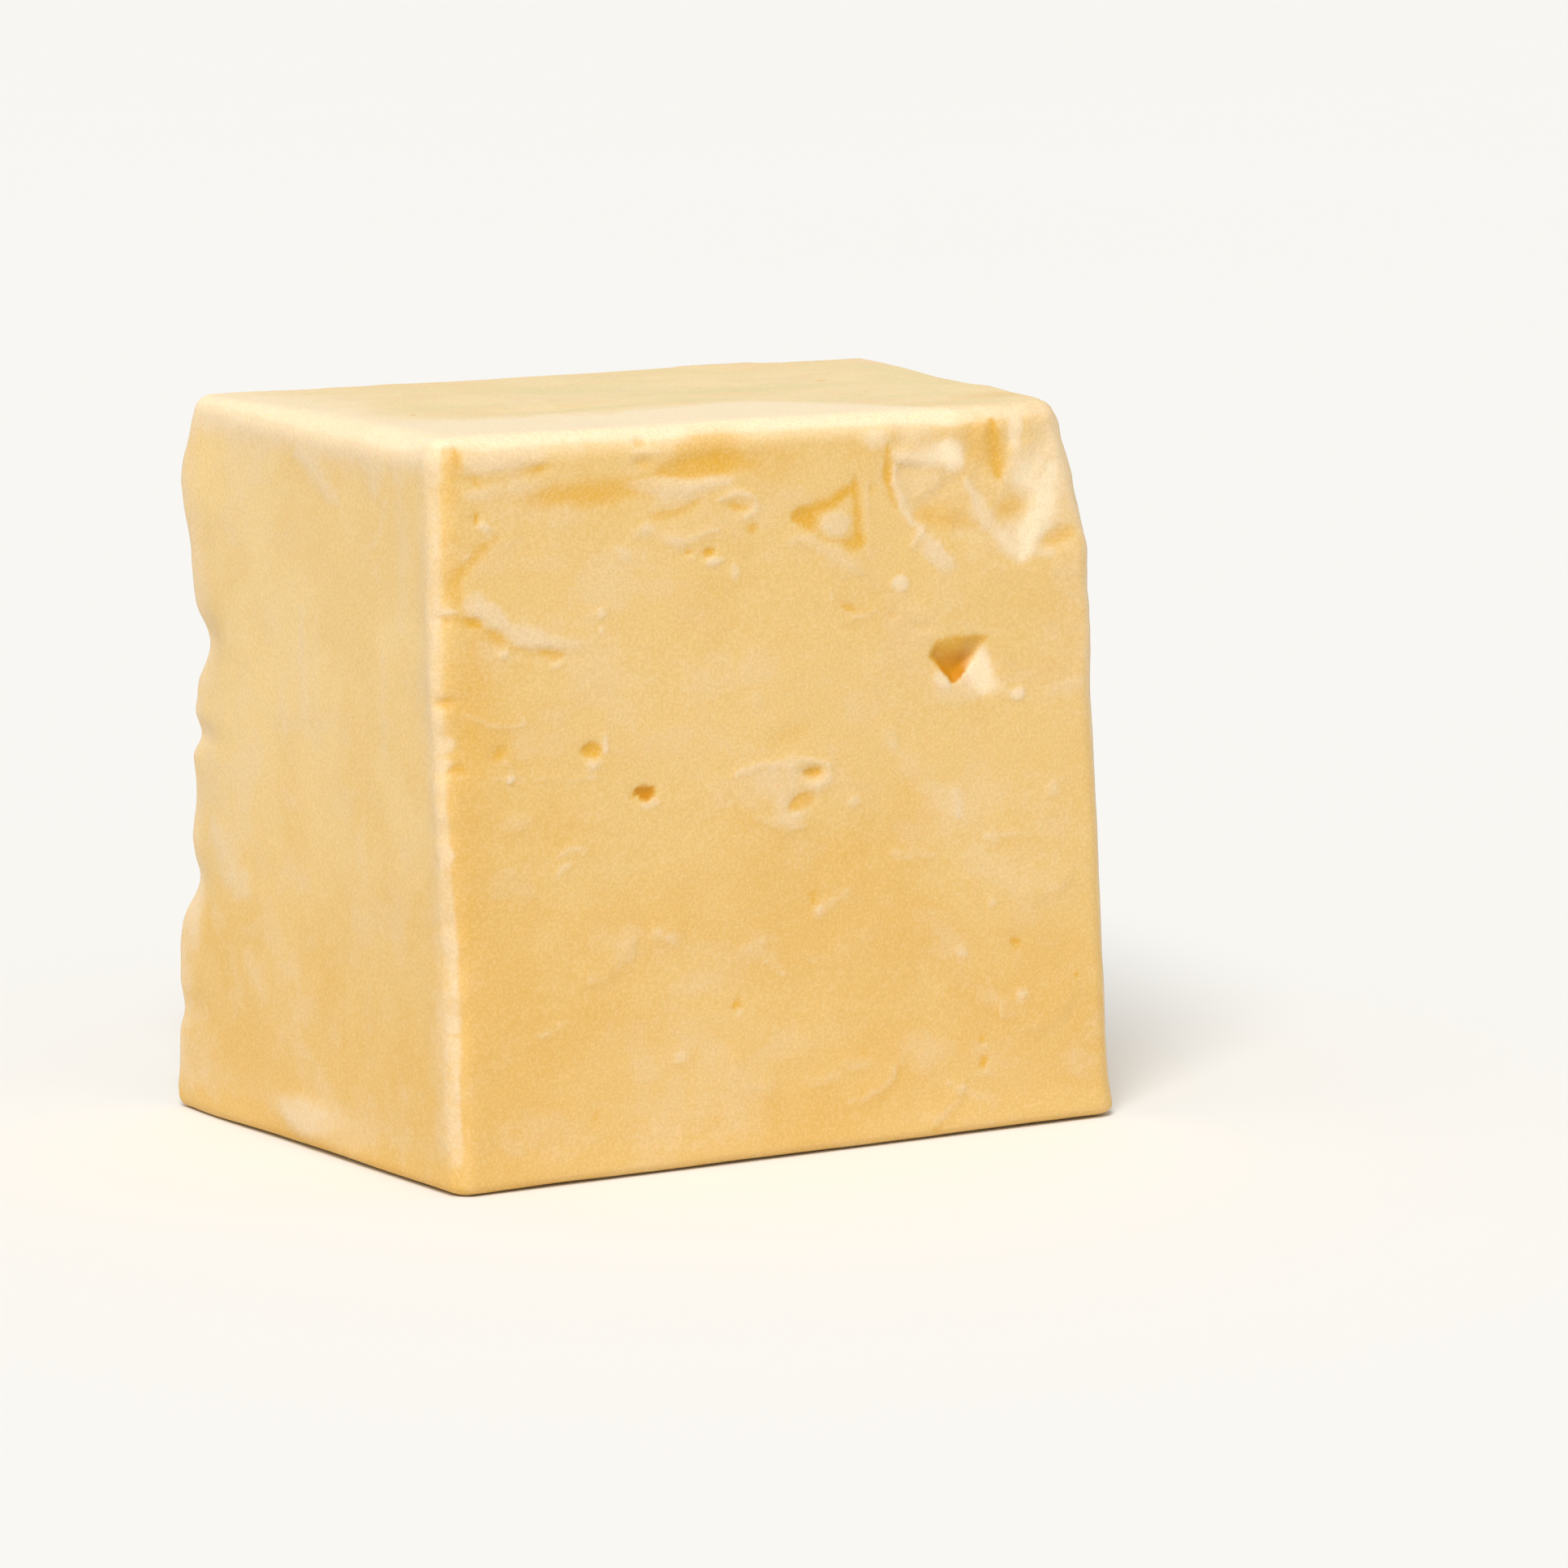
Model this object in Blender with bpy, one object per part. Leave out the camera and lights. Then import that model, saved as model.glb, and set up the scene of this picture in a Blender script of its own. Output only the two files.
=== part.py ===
"""Squared wedge of firm pressed cheese, cut from a larger block.

One solid that rests on its flat underside. Units are metres and +Z is up. X runs
along the front cut face from left to right and Y runs from the front to the back.
The origin is the middle of the footprint's box, on the surface the cheese rests on.
"""

import math

import bmesh
import bpy
from mathutils import Matrix, Vector, noise

MM = 0.001

# Driving dimensions: the cut block, before its edges are worn.
HEIGHT = 105.5 * MM
DEPTH = 78.5 * MM
FOOT_FRONT = 110.0 * MM
FOOT_BACK = 123.0 * MM
TOP_FRONT = 106.2 * MM
TOP_BACK = 115.5 * MM

# How far each left-hand corner stands to the left of the front one's foot.
LEFT_BACK_FOOT = 6.6 * MM
LEFT_BACK_TOP = 1.8 * MM
LEFT_FRONT_TOP = 1.8 * MM
FRONT_LEAN = 2.1 * MM

# Rounding of the edges. The upright ones start at the front left and go anticlockwise
# seen from above, and none gets tighter than the least radius where the top rounds in.
UPRIGHT_RADII = (3.2 * MM, 3.8 * MM, 4.0 * MM, 3.2 * MM)
TOP_RADIUS = 4.0 * MM
FOOT_RADIUS = 1.6 * MM
LEAST_RADIUS = 0.7 * MM

# Fineness of the skin.
ARC_STEPS = 5
SIDE_STEPS = 7
WALL_STEPS = 26
EDGE_STEPS = 4

# Slow unevenness of the cut faces.
SWELL = 0.35 * MM
SWELL_LENGTH = 26.0 * MM

# The back left edge is chewed: height of each place, how far it swells out (or, with
# a minus, is bitten in), and how far up and down it reaches. Sideways, the wear fades
# with distance from the edge.
CHEWED_REACH = 9.0 * MM
CHEWED_EDGE = (
    (92.5 * MM, 2.0 * MM, 7.5 * MM),
    (69.0 * MM, -3.2 * MM, 4.8 * MM),
    (61.0 * MM, -1.0 * MM, 4.0 * MM),
    (55.6 * MM, -1.9 * MM, 2.2 * MM),
    (45.0 * MM, -1.2 * MM, 8.0 * MM),
    (34.5 * MM, -1.9 * MM, 3.4 * MM),
    (15.0 * MM, -1.0 * MM, 3.0 * MM),
)

# Cavities: name, how far right of the front left foot, how far behind the front
# face, height, then half width, half depth, half height, roughness, point. Point is
# how sharply the lower half draws in to a tip, from 0 to 1.
CAVITIES = (
    ("eye", 81.8, 0.2, 69.2, 4.6, 4.4, 3.6, 0.10, 0.85),
    ("small_eye", 31.1, 0.2, 54.2, 1.6, 1.9, 1.1, 0.10, 0.2),
    ("top_hollow", 40.0, 0.0, 99.4, 7.0, 1.8, 2.2, 0.20, 0.0),
    ("crack_pit", 64.0, 0.0, 91.0, 3.2, 1.2, 4.2, 0.15, 0.4),
    ("low_pit", 57.2, 0.0, 53.0, 2.6, 1.1, 3.0, 0.15, 0.0),
    ("torn_left", 80.5, -1.4, 97.6, 9.0, 3.2, 6.6, 0.22, 0.0),
    ("torn_right", 94.0, -1.8, 92.2, 8.0, 4.2, 9.0, 0.22, 0.3),
    ("lost_corner", 106.4, -1.0, 102.0, 5.2, 9.5, 11.5, 0.10, 0.0),
    ("edge_chip", 0.2, -1.4, 61.5, 2.2, 2.4, 6.0, 0.20, 0.0),
)
CAVITY_FINENESS = 3

CHEESE_COLOUR = (0.84, 0.58, 0.24, 1.0)
CHEESE_ROUGHNESS = 0.55


def clear_scene():
    """Remove every object that the file opens with."""
    for item in list(bpy.data.objects):
        bpy.data.objects.remove(item, do_unlink=True)


def cheese_material():
    """Golden, slightly waxy cut cheese."""
    material = bpy.data.materials.new("cheese")
    material.use_nodes = True
    shader = material.node_tree.nodes["Principled BSDF"]
    shader.inputs["Base Color"].default_value = CHEESE_COLOUR
    shader.inputs["Roughness"].default_value = CHEESE_ROUGHNESS
    shader.inputs["Metallic"].default_value = 0.0
    material.diffuse_color = CHEESE_COLOUR
    return material


def corners_at(height):
    """The block's four sharp corners at one height, anticlockwise seen from above."""
    rise = height / HEIGHT
    feet = (
        Vector((0.0, 0.0)),
        Vector((FOOT_FRONT, 0.0)),
        Vector((FOOT_BACK - LEFT_BACK_FOOT, DEPTH)),
        Vector((-LEFT_BACK_FOOT, DEPTH)),
    )
    tops = (
        Vector((-LEFT_FRONT_TOP, FRONT_LEAN)),
        Vector((TOP_FRONT - LEFT_FRONT_TOP, FRONT_LEAN)),
        Vector((TOP_BACK - LEFT_BACK_TOP, DEPTH)),
        Vector((-LEFT_BACK_TOP, DEPTH)),
    )
    return [foot.lerp(top, rise) for foot, top in zip(feet, tops)]


def chewed(height):
    """How far the back left edge stands out of its straight line at one height."""
    return sum(out * math.exp(-((height - middle) / reach) ** 2)
               for middle, out, reach in CHEWED_EDGE)


def wear_at_back_left(point, corners, height):
    """The chewed edge's shift of one point, along the block's diagonal."""
    diagonal = (corners[3] - corners[1]).normalized()
    nearness = math.exp(-((point - corners[3]).length / CHEWED_REACH) ** 2)
    return diagonal * chewed(height) * nearness


def outward(start, end):
    """The outward normal of a side that runs anticlockwise from start to end."""
    run = (end - start).normalized()
    return Vector((run.y, -run.x))


def ring(height, inset):
    """One level outline: four arcs joined by straight sides, all moved in by inset."""
    corners = corners_at(height)
    arcs = []
    for index, corner in enumerate(corners):
        before = outward(corners[index - 1], corner)
        after = outward(corner, corners[(index + 1) % 4])
        radius = max(UPRIGHT_RADII[index], inset + LEAST_RADIUS)
        centre = corner - radius * (before + after) / (1.0 + before.dot(after))
        turn = before.angle_signed(after)
        start = math.atan2(before.y, before.x)
        sweep = [start - turn * step / ARC_STEPS for step in range(ARC_STEPS + 1)]
        arcs.append([centre + (radius - inset) * Vector((math.cos(a), math.sin(a)))
                     for a in sweep])
    points = []
    for index, arc in enumerate(arcs):
        points.extend(arc)
        following = arcs[(index + 1) % 4][0]
        points.extend(arc[-1].lerp(following, step / SIDE_STEPS)
                      for step in range(1, SIDE_STEPS))
    worn = [point + wear_at_back_left(point, corners, height) for point in points]
    return [Vector((point.x, point.y, height)) for point in worn]


def levels():
    """Heights and insets of the rings, from the flat foot up to the flat top."""
    quarter = [math.pi / 2.0 * step / EDGE_STEPS for step in range(EDGE_STEPS + 1)]
    foot = [(FOOT_RADIUS * (1.0 - math.sin(a)), FOOT_RADIUS * (1.0 - math.cos(a)))
            for a in reversed(quarter)]
    top = [(HEIGHT - TOP_RADIUS * (1.0 - math.sin(a)), TOP_RADIUS * (1.0 - math.cos(a)))
           for a in quarter]
    low, high = foot[-1][0], top[0][0]
    wall = [(low + (high - low) * step / WALL_STEPS, 0.0) for step in range(1, WALL_STEPS)]
    return foot + wall + top


def swell(point):
    """A slow in and out movement of the wall, nothing at the foot and the top."""
    fade = math.sin(math.pi * point.z / HEIGHT)
    away = Vector((point.x - FOOT_FRONT / 2.0, point.y - DEPTH / 2.0, 0.0)).normalized()
    return point + away * SWELL * fade * noise.noise(point / SWELL_LENGTH)


def block_mesh():
    """The closed block: rings joined level by level, with a flat foot and a flat top."""
    mesh = bmesh.new()
    rings = []
    for height, inset in levels():
        rings.append([mesh.verts.new(swell(point)) for point in ring(height, inset)])
    for below, above in zip(rings, rings[1:]):
        count = len(below)
        for index in range(count):
            after = (index + 1) % count
            mesh.faces.new((below[index], below[after], above[after], above[index]))
    mesh.faces.new(list(reversed(rings[0])))
    mesh.faces.new(rings[-1])
    data = bpy.data.meshes.new("cheese_wedge")
    mesh.to_mesh(data)
    mesh.free()
    return data


def cavity_cutter(name, place, halves, roughness, point):
    """A lumpy ball whose lower half may draw in to a tip, used only to cut."""
    mesh = bmesh.new()
    bmesh.ops.create_icosphere(mesh, subdivisions=CAVITY_FINENESS, radius=1.0)
    for vertex in mesh.verts:
        bump = 1.0 + roughness * noise.noise(vertex.co * 1.7 + place / MM)
        pinch = 1.0 - point * max(0.0, -vertex.co.z)
        x, y, z = vertex.co * bump
        vertex.co = Vector((x * pinch * halves.x, y * halves.y, z * halves.z)) + place
    data = bpy.data.meshes.new(name)
    mesh.to_mesh(data)
    mesh.free()
    cutter = bpy.data.objects.new(name, data)
    cutter.hide_render = True
    cutter.display_type = "WIRE"
    bpy.context.collection.objects.link(cutter)
    return cutter


def cut_cavities(wedge):
    """Cut each eye, pit and torn place out of the block."""
    for name, x, y, z, wide, deep, high, roughness, point in CAVITIES:
        lean = FRONT_LEAN * z * MM / HEIGHT
        place = Vector((x * MM, y * MM + lean, z * MM))
        halves = Vector((wide, deep, high)) * MM
        cut = wedge.modifiers.new(name, "BOOLEAN")
        cut.operation = "DIFFERENCE"
        cut.object = cavity_cutter(name + "_cutter", place, halves, roughness, point)


def stand_on_origin(wedge):
    """Bake the cuts, then move the block so that its box stands on the origin."""
    evaluated = wedge.evaluated_get(bpy.context.evaluated_depsgraph_get())
    data = bpy.data.meshes.new_from_object(evaluated)
    wedge.modifiers.clear()
    wedge.data = data
    lows = [min(vertex.co[axis] for vertex in data.vertices) for axis in range(3)]
    highs = [max(vertex.co[axis] for vertex in data.vertices) for axis in range(3)]
    middle = [(low + high) / 2.0 for low, high in zip(lows, highs)]
    data.transform(Matrix.Translation((-middle[0], -middle[1], -lows[2])))


def main():
    clear_scene()
    wedge = bpy.data.objects.new("cheese_wedge", block_mesh())
    bpy.context.collection.objects.link(wedge)
    cut_cavities(wedge)
    stand_on_origin(wedge)
    wedge.data.materials.clear()
    wedge.data.materials.append(cheese_material())
    wedge.data.shade_smooth()
    wedge.data.set_sharp_from_angle(angle=math.radians(35.0))


main()
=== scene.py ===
"""Looks for a squared wedge of firm pressed cheese.

The piece is one closed surface worked out with numpy: a box of grid lines is rounded,
tapered to the block's own corners, swollen, chewed at one edge, and then marked with
its eyes, cracks, flakes and torn corner. Lengths in the shape code are millimetres
from the foot of the front left edge: x to the right along the front face, y towards
the back and z up. The mesh is written in metres, in the frame's own place.
"""

import math

import bpy
import numpy as np
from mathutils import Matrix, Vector


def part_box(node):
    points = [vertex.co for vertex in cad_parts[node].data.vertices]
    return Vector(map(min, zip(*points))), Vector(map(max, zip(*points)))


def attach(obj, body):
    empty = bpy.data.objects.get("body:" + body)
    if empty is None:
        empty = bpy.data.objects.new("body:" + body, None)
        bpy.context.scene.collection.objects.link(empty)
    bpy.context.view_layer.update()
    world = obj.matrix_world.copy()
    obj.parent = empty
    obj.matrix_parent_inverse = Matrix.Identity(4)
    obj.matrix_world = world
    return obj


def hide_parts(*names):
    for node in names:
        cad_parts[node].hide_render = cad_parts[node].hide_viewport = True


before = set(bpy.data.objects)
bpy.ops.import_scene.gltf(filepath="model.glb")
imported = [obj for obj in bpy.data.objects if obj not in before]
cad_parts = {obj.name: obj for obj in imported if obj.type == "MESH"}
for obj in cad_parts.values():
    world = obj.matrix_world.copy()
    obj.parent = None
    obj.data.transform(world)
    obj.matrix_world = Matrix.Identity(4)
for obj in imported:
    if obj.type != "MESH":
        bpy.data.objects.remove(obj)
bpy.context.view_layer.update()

bl_info = {
    "name": "Cheese Wedge",
    "version": (1, 0, 0),
    "blender": (4, 5, 0),
    "location": "3D View > Sidebar > Cheese",
    "description": "Builds a squared wedge of firm pressed cheese and its studio",
    "category": "Add Mesh",
}

MM = 0.001
NODE = "cheese_wedge"
LOW, HIGH = (np.array(corner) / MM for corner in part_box(NODE))
HEIGHT = float(HIGH[2] - LOW[2])

# The sharp corners of the block, before any edge is rounded: how far each stands in
# from the left and from the front of the frame's box, at the foot and at the top.
FRONT_LEFT = ((6.24, 0.0), (4.44, 2.1))
FRONT_RIGHT = ((116.24, 0.0), (110.64, 2.1))
BACK_LEFT = ((-0.36, 78.5), (4.44, 78.5))
BACK_RIGHT = ((122.64, 78.5), (119.94, 78.5))
FOOT_CORNER = LOW + np.array([*FRONT_LEFT[0], 0.0])
SIZE = np.array([FRONT_RIGHT[0][0] - FRONT_LEFT[0][0], BACK_LEFT[0][1], HEIGHT])

# Grid lines along x, y and z. Their product keeps the piece under 200,000 triangles.
LINES = (172, 62, 162)

# The chewed back left edge: height, how far it stands out, how far up and down. The
# last two are slow and shallow. CHEWED_REACH is how far from the edge it is felt.
CHEWED_REACH = 9.0
CHEWED_EDGE = (
    (92.5, 2.0, 7.5),
    (69.0, -3.2, 4.8),
    (61.0, -1.0, 4.0),
    (55.6, -1.9, 2.2),
    (45.0, -1.2, 8.0),
    (33.8, -2.1, 4.4),
    (15.0, -1.0, 3.0),
    (0.0, -1.2, 2.6),
    (82.0, -0.7, 12.0),
    (46.0, -0.5, 30.0),
)

# The chipped front left edge: height, how far it is pushed in, how far up and down.
CHIPS = (
    (80.3, 0.3, 1.2),
    (69.0, 0.4, 1.4),
    (63.0, 1.0, 3.4),
    (59.6, 0.5, 1.4),
    (51.0, 0.4, 1.5),
    (38.0, 0.5, 1.4),
    (33.0, 0.9, 5.0),
    (24.0, 0.6, 3.0),
)

# How wide the dry band beside an edge is on the front and on the left face, as a share
# of its width on the others.
FRONT_BAND = 0.32
LEFT_BAND = 1.45

# What a face's marks can tint it with: dry pale cheese, the cream of the dried front of
# the top, darker gold that is painted shade in hollows, cracks and grooves and also
# lies in broad patches, painted shade in the holes' cores, and green-grey bloom.
TINTS = ("pale", "cream", "deep", "core", "bloom")

NOISE_CELLS = 32


# ------------------------------------------------------------------ numpy helpers

def lattice_noise(points, size, seed):
    """Smooth noise from -1 to 1: random values on a lattice with cells of the given
    size, blended between the eight nearest by the fifth-power fade curve."""
    values = np.random.default_rng(seed).uniform(-1.0, 1.0, (NOISE_CELLS,) * 3)
    place = points / size
    cell = np.floor(place).astype(int)
    part = place - cell
    fade = part ** 3 * (part * (part * 6.0 - 15.0) + 10.0)
    total = np.zeros(len(points))
    for corner in np.ndindex(2, 2, 2):
        share = np.where(np.array(corner) == 1, fade, 1.0 - fade).prod(axis=1)
        index = (cell + np.array(corner)) % NOISE_CELLS
        total += share * values[index[:, 0], index[:, 1], index[:, 2]]
    return total


def layered_noise(points, size, layers, seed):
    """A sum of lattice noises, each layer half the size and half the strength."""
    total = np.zeros(len(points))
    for layer in range(layers):
        total += lattice_noise(points, size / 2 ** layer, seed + layer) / 2 ** layer
    return total / (2.0 - 0.5 ** (layers - 1))


def smooth(low, high, value):
    """0 below low, 1 above high, and the smoothstep curve between them."""
    share = np.clip((value - low) / (high - low), 0.0, 1.0)
    return share * share * (3.0 - 2.0 * share)


def bell(distance):
    """1 at distance 0, a third at 1, and next to nothing past 2."""
    return np.exp(-distance ** 2)


def along_path(x, z, places):
    """For each point: how far it is from a path through the places, how far along the
    path the nearest spot is, from 0 to 1, and 1 if it lies left of the path there or
    -1 if it lies right."""
    places = np.array(places)
    runs = np.diff(places, axis=0)
    lengths = np.hypot(*runs.T)
    passed = np.concatenate([[0.0], np.cumsum(lengths)])
    away, along, side = np.full(len(x), np.inf), np.zeros(len(x)), np.ones(len(x))
    for start, run, length, before in zip(places, runs, lengths, passed):
        right, up = x - start[0], z - start[1]
        part = np.clip((right * run[0] + up * run[1]) / length ** 2, 0.0, 1.0)
        gap = np.hypot(right - part * run[0], up - part * run[1])
        closer = gap < away
        away = np.where(closer, gap, away)
        along = np.where(closer, (before + part * length) / passed[-1], along)
        side = np.where(closer, np.sign(run[0] * up - run[1] * right), side)
    return away, along, side


def region_distance(x, z, places):
    """The distance of each point from a closed outline, less than 0 inside it. A point
    is inside if a ray from it crosses the outline's sides an odd number of times."""
    inside = np.zeros(len(x), bool)
    closed = (*places, places[0])
    for (x0, z0), (x1, z1) in zip(closed, closed[1:]):
        spans = (z0 > z) != (z1 > z)
        level = z1 - z0 if z1 != z0 else 1.0
        inside ^= spans & (x < x0 + (z - z0) / level * (x1 - x0))
    away = along_path(x, z, closed)[0]
    return np.where(inside, -away, away)


# ------------------------------------------------------------------ the bare block

def spaced(length, count, crowding):
    """Grid lines from 0 to length that sit closer where crowding(position) is larger:
    they cut the running total of the crowding into equal shares."""
    fine = np.linspace(0.0, length, 4001)
    weight = crowding(fine)
    total = np.concatenate([[0.0], np.cumsum((weight[1:] + weight[:-1]) / 2.0)])
    return np.interp(np.linspace(0.0, total[-1], count), total, fine)


def grid_lines():
    """Lines along x, y and z, crowded at the rounded edges and at the upper right."""
    along = spaced(SIZE[0], LINES[0], lambda x: (
        1.0 + 0.6 * smooth(66.0, 76.0, x) + 0.9 * bell(x / 4.0)
        + 0.6 * bell((x - SIZE[0]) / 4.0)))
    across = spaced(SIZE[1], LINES[1], lambda y: (
        1.0 + 3.2 * bell(y / 5.0) + 1.6 * bell((y - SIZE[1]) / 5.0)))
    upward = spaced(SIZE[2], LINES[2], lambda z: (
        1.0 + 0.8 * smooth(42.0, 52.0, z) + 0.9 * bell((z - SIZE[2]) / 5.0)
        + 1.0 * bell(z / 2.0)))
    return along, across, upward


def block_grid(along, across, upward):
    """The six sides of a box as one closed grid of quads that share their edges.
    Returns the points and the corners of each quad, wound to face outwards."""
    shape = (len(along), len(across), len(upward))
    i, j, k = np.indices(shape)
    shell = ((i == 0) | (i == shape[0] - 1) | (j == 0) | (j == shape[1] - 1)
             | (k == 0) | (k == shape[2] - 1))
    number = np.full(shape, -1)
    number[shell] = np.arange(shell.sum())
    points = np.stack([along[i[shell]], across[j[shell]], upward[k[shell]]], axis=1)

    def side(sheet, turned):
        quads = np.stack([sheet[:-1, :-1], sheet[1:, :-1], sheet[1:, 1:],
                          sheet[:-1, 1:]], axis=-1).reshape(-1, 4)
        return quads[:, ::-1] if turned else quads

    quads = np.concatenate([
        side(number[:, :, -1], False), side(number[:, :, 0], True),
        side(number[:, 0, :], False), side(number[:, -1, :], True),
        side(number[-1, :, :], False), side(number[0, :, :], True)])
    return points, quads


def rounded(points, settings):
    """Rounds the box's edges. Each point is held to a smaller inner box, and its step
    out from there, measured in radii, is brought to length 1, so that edges become
    quarter ellipses and corners parts of an ellipsoid. The radii wander with wear, and
    are less at the back. Returns the moved points and their nearness to an edge, a bell
    over the second smallest of their distances to the box's sides."""
    upright, top, foot = (radius / MM for radius in (
        settings.upright_radius, settings.top_radius, settings.foot_radius))
    wear = 1.0 + settings.edge_wear * layered_noise(points, 18.0, 3, 11)
    wear *= 1.0 - 0.5 * smooth(0.55, 0.9, points[:, 1] / SIZE[1])
    near_top = smooth(SIZE[2] - 2.5 * top, SIZE[2] - 0.6 * top, points[:, 2])
    flat = (upright + (top - upright) * near_top) * wear
    tall = np.where(points[:, 2] > SIZE[2] / 2.0, top * wear, foot)
    radii = np.stack([flat, flat, tall], axis=1)
    held = np.clip(points, radii, SIZE - radii)
    step = (points - held) / radii
    length = np.linalg.norm(step, axis=1, keepdims=True)
    second = np.sort(np.minimum(points, SIZE - points), axis=1)[:, 1]
    reach = settings.edge_reach / MM * (1.0 + 0.5 * layered_noise(points, 11.0, 3, 17))
    on_left, on_front = points[:, 0] == 0.0, points[:, 1] == 0.0
    reach *= np.where(on_front, FRONT_BAND, np.where(on_left, LEFT_BAND, 1.0))
    return held + radii * step / np.maximum(length, 1.0), bell(second / reach)


def tapered(points):
    """Moves the box's corners to the block's own: each height is a blend of the foot
    and the top, and in each the four corners are blended by the point's x and y."""
    x, y, z = (points / SIZE).T

    def level(index):
        front = np.outer(1.0 - x, FRONT_LEFT[index]) + np.outer(x, FRONT_RIGHT[index])
        back = np.outer(1.0 - x, BACK_LEFT[index]) + np.outer(x, BACK_RIGHT[index])
        return front + (back - front) * y[:, None]

    plan = level(0) + (level(1) - level(0)) * z[:, None]
    return np.column_stack([plan - np.array(FRONT_LEFT[0]), points[:, 2]])


def chewed(points):
    """Shifts points near the back left edge along the block's diagonal, out or in by a
    sum of bells over the height and a little raggedness, fading away from the edge."""
    z = points[:, 2]
    foot, top = np.array(BACK_LEFT) - np.array(FRONT_LEFT[0])
    edge = foot + np.outer(z / SIZE[2], top - foot)
    near = bell(np.linalg.norm(points[:, :2] - edge, axis=1) / CHEWED_REACH)
    out = sum(amount * bell((z - middle) / reach) for middle, amount, reach in CHEWED_EDGE)
    out = out + 0.5 * layered_noise(points, 7.0, 3, 23)
    diagonal = np.array([-1.0, 1.0, 0.0]) / math.sqrt(2.0)
    return points + np.outer(out * near, diagonal)


def swollen(points, quads):
    """Moves the skin in and out along its normals by a slow swell and small curd
    lumps, and not at all on the foot. The mean is a little inwards, so that the skin
    stays in the frame's box."""
    normals = mesh_normals(points, quads)
    free = smooth(0.0, 6.0, points[:, 2])
    swell = 0.28 * layered_noise(points, 28.0, 2, 31) - 0.3
    lumps = 0.07 * layered_noise(points, 5.0, 3, 37)
    return points + normals * ((swell + lumps) * free)[:, None]


# ------------------------------------------------------------------ marks on a face

class Marks:
    """What the marks on one face add up to. height is how far each point is raised, or
    lowered where it is less than 0, and the shares say how much of each tint its finish
    shows. x runs across the face and z up it; on the top, z runs to the back."""

    def __init__(self, points, across, upward, seed):
        self.x = points[:, across]
        self.z = points[:, upward]
        self.grain = layered_noise(points, 1.7, 2, seed)
        self.ragged = layered_noise(points, 3.6, 3, seed + 3)
        self.drift = layered_noise(points, 9.0, 3, seed + 7)
        self.height = np.zeros(len(points))
        self.shares = {label: np.zeros(len(points)) for label in TINTS}

    def add(self, share, lift=0.0, **tints):
        """Raises each point by lift times the share, and lays each tint over what is
        there: what is left of the face is what both leave of it."""
        self.height += lift * share
        for label, strength in tints.items():
            left = (1.0 - self.shares[label]) * (1.0 - strength * share)
            self.shares[label] = 1.0 - left

    def dab(self, place, halves, turn=0.0, soft=0.5, **what):
        """An oval with a ragged rim: 1 inside and fading across the rim by soft."""
        run, rise = self.x - place[0], self.z - place[1]
        along = run * math.cos(turn) + rise * math.sin(turn)
        over = rise * math.cos(turn) - run * math.sin(turn)
        radius = np.hypot(along / halves[0], over / halves[1])
        radius += 0.28 * self.ragged + 0.20 * self.grain
        self.add(smooth(1.0 + soft, 1.0 - soft, radius), **what)

    def dabs(self, tint, rows):
        """One dab of the tint for each row: x, z, half width, half height, turn,
        softness, lift and the tint's strength."""
        for x, z, wide, high, turn, soft, lift, strength in rows:
            self.dab((x, z), (wide, high), turn, soft, lift=lift, **{tint: strength})

    def stroke(self, places, width, wobble=0.4, **what):
        """A soft line through the places that thins out towards both ends."""
        away, along, _ = along_path(self.x + wobble * self.ragged,
                                    self.z + wobble * self.grain, places)
        thin = 0.35 + 0.65 * np.sin(math.pi * np.clip(along, 0.0, 1.0)) ** 0.5
        self.add(bell(away / (width * thin)), **what)

    def lip(self, places, reach, lift, pale, groove):
        """The edge of a smeared leaf that lies left of the path. It rises in a short
        step at the path and sinks back over reach, dry and pale along the step, and
        has a shallow groove along its foot, darkened with painted shadow in darker gold.
        It dies out at both ends."""
        away, along, side = along_path(self.x + 0.8 * self.ragged + 0.7 * self.grain,
                                       self.z + 0.6 * self.drift + 0.7 * self.grain, places)
        ends = smooth(0.0, 0.12, along) * smooth(1.0, 0.88, along)
        signed = away * side
        broken = smooth(-0.9, 0.5, self.drift + 0.6 * self.ragged)
        step = smooth(-0.2, 0.5, signed) * np.exp(-np.maximum(signed, 0.0) / reach) * ends
        self.add(step, lift=lift)
        self.add(step * broken, pale=pale)
        self.add(bell((signed + 0.5) / 0.7) * ends * broken, lift=-0.2 * groove, deep=groove)

    def pit(self, place, size, strength, turn=0.0):
        """A small pit, darkened with painted shade in darker gold, with a pale crumb of curd
        at its lower right.
        """
        self.dab(place, (size, 0.7 * size), turn, 0.5, lift=-0.4 * size * strength,
                 deep=min(1.0, 1.4 * strength))
        self.dab((place[0] + 0.5 * size, place[1] - 1.3 * size), (0.9 * size, 0.5 * size),
                 0.0, 0.6, lift=0.12, pale=0.6 * strength)


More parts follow.
